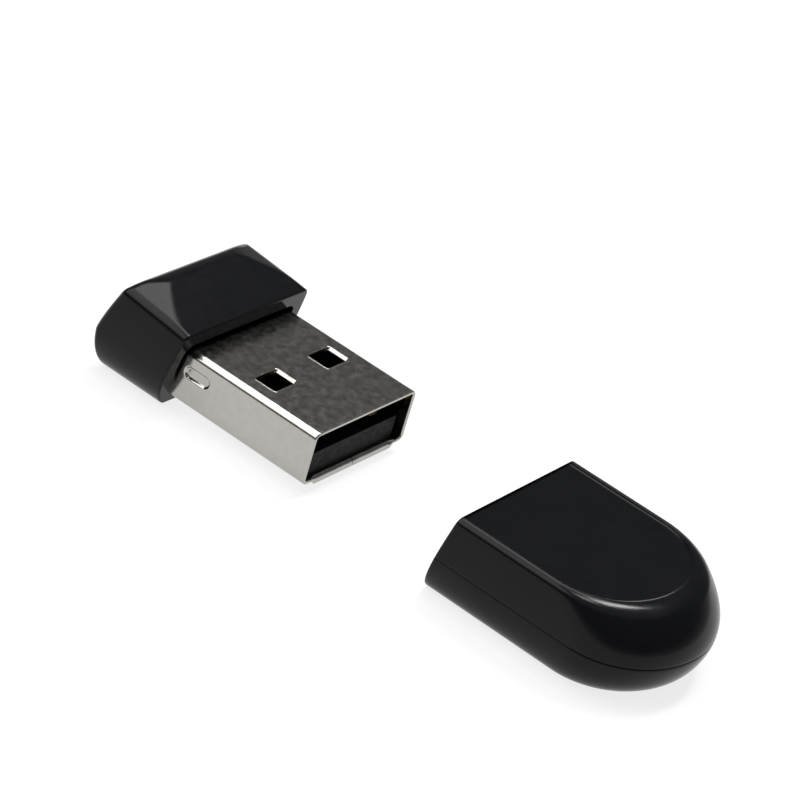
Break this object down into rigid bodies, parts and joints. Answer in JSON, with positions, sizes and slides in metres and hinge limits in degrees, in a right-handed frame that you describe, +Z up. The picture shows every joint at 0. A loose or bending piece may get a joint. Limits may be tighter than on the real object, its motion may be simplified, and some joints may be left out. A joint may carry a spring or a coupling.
{
  "type": "usb flash drive",
  "caption": "Short USB stick with a steel plug and a ridged black plastic housing, and a round-nosed pull-off cap laid in line in front of it.",
  "frame": {"origin": "middle of the footprint of drive and cap laid out in one line, on the surface they lie on", "axes": "+Y along the plug, from the housing through the plug's mouth towards the cap; +Z up; +X across the width"},
  "size_m": [0.0148, 0.051, 0.0082],
  "materials": {
    "housing_plastic": "gloss black moulded plastic",
    "cap_plastic": "gloss black moulded plastic",
    "plug_steel": "satin plated steel sheet",
    "insulator": "matt black",
    "contact_plating": "thin gold plating",
    "board_laminate": "green solder resist",
    "chip_package": "matt moulded epoxy",
    "crystal_can": "satin",
    "ceramic": "matt ceramic with tinned ends",
    "resistor_body": "matt",
    "solder": "bright solder",
    "spacer_plastic": "natural nylon"
  },
  "bodies": {
    "drive": {"rear_housing": "housing_plastic", "plug_shell": "plug_steel", "contact_carrier": "insulator", "contact_vbus": "contact_plating", "contact_data_minus": "contact_plating", "contact_data_plus": "contact_plating", "contact_ground": "contact_plating", "solder_joints": "solder", "circuit_board": "board_laminate", "flash_memory": "chip_package", "controller": "chip_package", "crystal": "crystal_can", "bulk_capacitor": "ceramic", "ferrite_bead": "resistor_body", "decoupling_capacitors": "ceramic", "load_capacitors": "ceramic", "data_resistors": "resistor_body", "board_spacer": "spacer_plastic"},
    "cap": {"cap_upper_shell": "cap_plastic", "cap_lower_shell": "cap_plastic"}
  },
  "joints": [
    {"name": "cap_slide", "type": "slide", "parent": "drive", "child": "cap", "axis": [0, -1, 0], "range_m": [0, 0.02555]}
  ]
}
